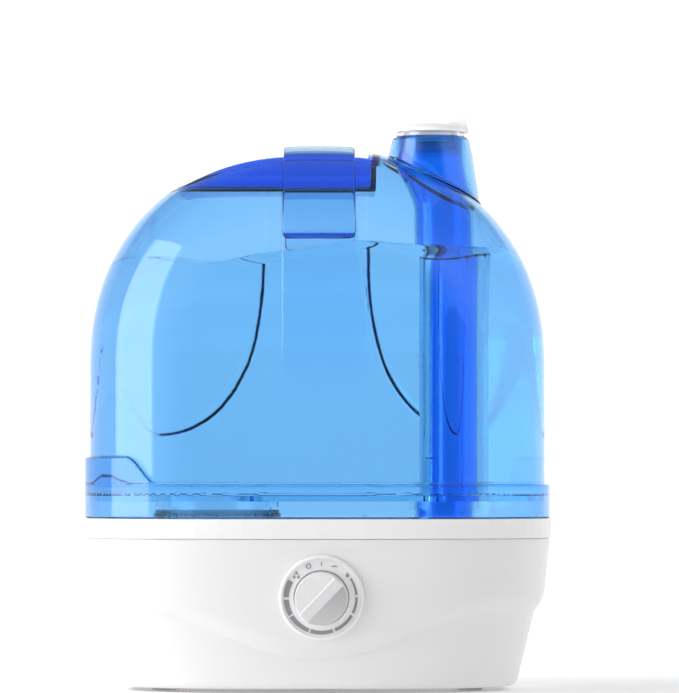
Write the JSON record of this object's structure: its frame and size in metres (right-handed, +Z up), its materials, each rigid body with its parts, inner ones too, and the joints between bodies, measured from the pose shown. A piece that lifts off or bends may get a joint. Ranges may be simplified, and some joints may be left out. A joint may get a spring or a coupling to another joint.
{
  "type": "cool mist humidifier",
  "caption": "Tabletop ultrasonic cool mist humidifier: clear blue domed water tank with handle and turning mist nozzle, on a white base with a front mist dial.",
  "frame": {"origin": "on the surface it stands on, under the middle of the whole object's box", "axes": "+Z up, -Y to the front, where the dial is, +X to the viewer's right, where the nozzle is"},
  "size_m": [0.21, 0.1336, 0.2566],
  "materials": {
    "housing_white": "polished white ABS",
    "plate_white": "fine texture",
    "feet_rubber": "matte",
    "screw_steel": "zinc plated",
    "dial_white": "satin gloss",
    "mark_grey": "printed grey, slightly raised",
    "pot_plastic": "moulded",
    "nickel": "nickel plated",
    "knob_grey": "satin light grey",
    "circuit_board": "solder mask",
    "component_black": "moulded",
    "aluminium": "extruded",
    "transformer_iron": "laminated, varnished",
    "fan_plastic": "moulded",
    "duct_plastic": "moulded",
    "transducer_silver": "silvered disc",
    "seal_rubber": "soft silicone",
    "float_white": "moulded",
    "switch_black": "moulded",
    "gland_white": "moulded nylon",
    "lead_red": "PVC insulation",
    "lead_black": "PVC insulation",
    "lead_grey": "PVC insulation",
    "lead_white": "PVC insulation",
    "tank_blue": "clear tinted plastic, polished",
    "handle_blue": "clear tinted plastic, polished",
    "floor_blue": "clear, faintly blue plastic",
    "column_blue": "deep clear blue plastic, polished",
    "cap_white": "moulded",
    "spring_steel": "stainless wire",
    "nozzle_white": "satin gloss",
    "nozzle_ring_clear": "pale, slightly translucent"
  },
  "bodies": {
    "base": {"base_housing": "housing_white", "base_tray": "housing_white", "bottom_plate": "plate_white", "rubber_feet": "feet_rubber", "case_screws": "screw_steel", "dial_ring": "dial_white", "dial_marks": "mark_grey", "pot_body": "pot_plastic", "pot_nut": "nickel", "control_board": "circuit_board", "driver_board": "circuit_board", "driver_components": "component_black", "heat_sink": "aluminium", "power_board": "circuit_board", "transformer": "transformer_iron", "fan_frame": "fan_plastic", "fan_screws": "screw_steel", "air_duct": "duct_plastic", "transducer_disc": "transducer_silver", "transducer_seal": "seal_rubber", "transducer_clamp": "nickel", "transducer_screws": "screw_steel", "float_retainer": "float_white", "level_switch": "switch_black", "cord_gland": "gland_white", "transducer_lead": "lead_red", "fan_lead": "lead_black", "dial_lead": "lead_grey", "mains_lead": "lead_white"},
    "knob": {"knob": "knob_grey", "knob_shaft": "nickel"},
    "fan_rotor": {"fan_rotor": "fan_plastic"},
    "float": {"float": "float_white"},
    "tank": {"tank_shell": "tank_blue", "tank_floor": "floor_blue", "handle_strap": "handle_blue", "mist_tower": "tank_blue", "mist_tube": "column_blue"},
    "tank_cap": {"tank_cap": "cap_white", "cap_gasket": "seal_rubber", "valve_spring": "spring_steel"},
    "valve": {"valve_plunger": "cap_white", "valve_seal": "seal_rubber"},
    "nozzle_ring": {"nozzle_ring": "nozzle_ring_clear"},
    "nozzle": {"nozzle_cap": "nozzle_white"}
  },
  "joints": [
    {"name": "knob_turn", "type": "hinge", "parent": "base", "child": "knob", "pos_m": [0.002, -0.05584, 0.0422], "axis": [0, 0.9945, 0.1044], "range_deg": [-43.7, 256.3]},
    {"name": "tank_lift", "type": "slide", "parent": "base", "child": "tank", "axis": [0, 0, 1], "range_m": [0, 0.1]},
    {"name": "cap_turn", "type": "hinge", "parent": "tank", "child": "tank_cap", "pos_m": [-0.045, 0.0038, 0.07], "axis": [0, 0, 1], "range_deg": [0, 540]},
    {"name": "valve_close", "type": "slide", "parent": "tank_cap", "child": "valve", "axis": [0, 0, -1], "range_m": [0, 0.005], "deforming": ["valve_spring"]},
    {"name": "nozzle_lift", "type": "slide", "parent": "tank", "child": "nozzle_ring", "axis": [0, 0, 1], "range_m": [0, 0.03]},
    {"name": "nozzle_turn", "type": "hinge", "parent": "nozzle_ring", "child": "nozzle", "pos_m": [0.0509, 0.0038, 0.25], "axis": [0, 0, 1], "continuous": true},
    {"name": "float_rise", "type": "slide", "parent": "base", "child": "float", "axis": [0, 0, 1], "range_m": [0, 0.009]},
    {"name": "fan_spin", "type": "hinge", "parent": "base", "child": "fan_rotor", "pos_m": [0, 0.0118, 0.015], "axis": [0, 0, 1], "continuous": true}
  ],
  "couplings": [
    {"joint": "valve_close", "follows": "tank_lift", "ratio": 0.05}
  ]
}
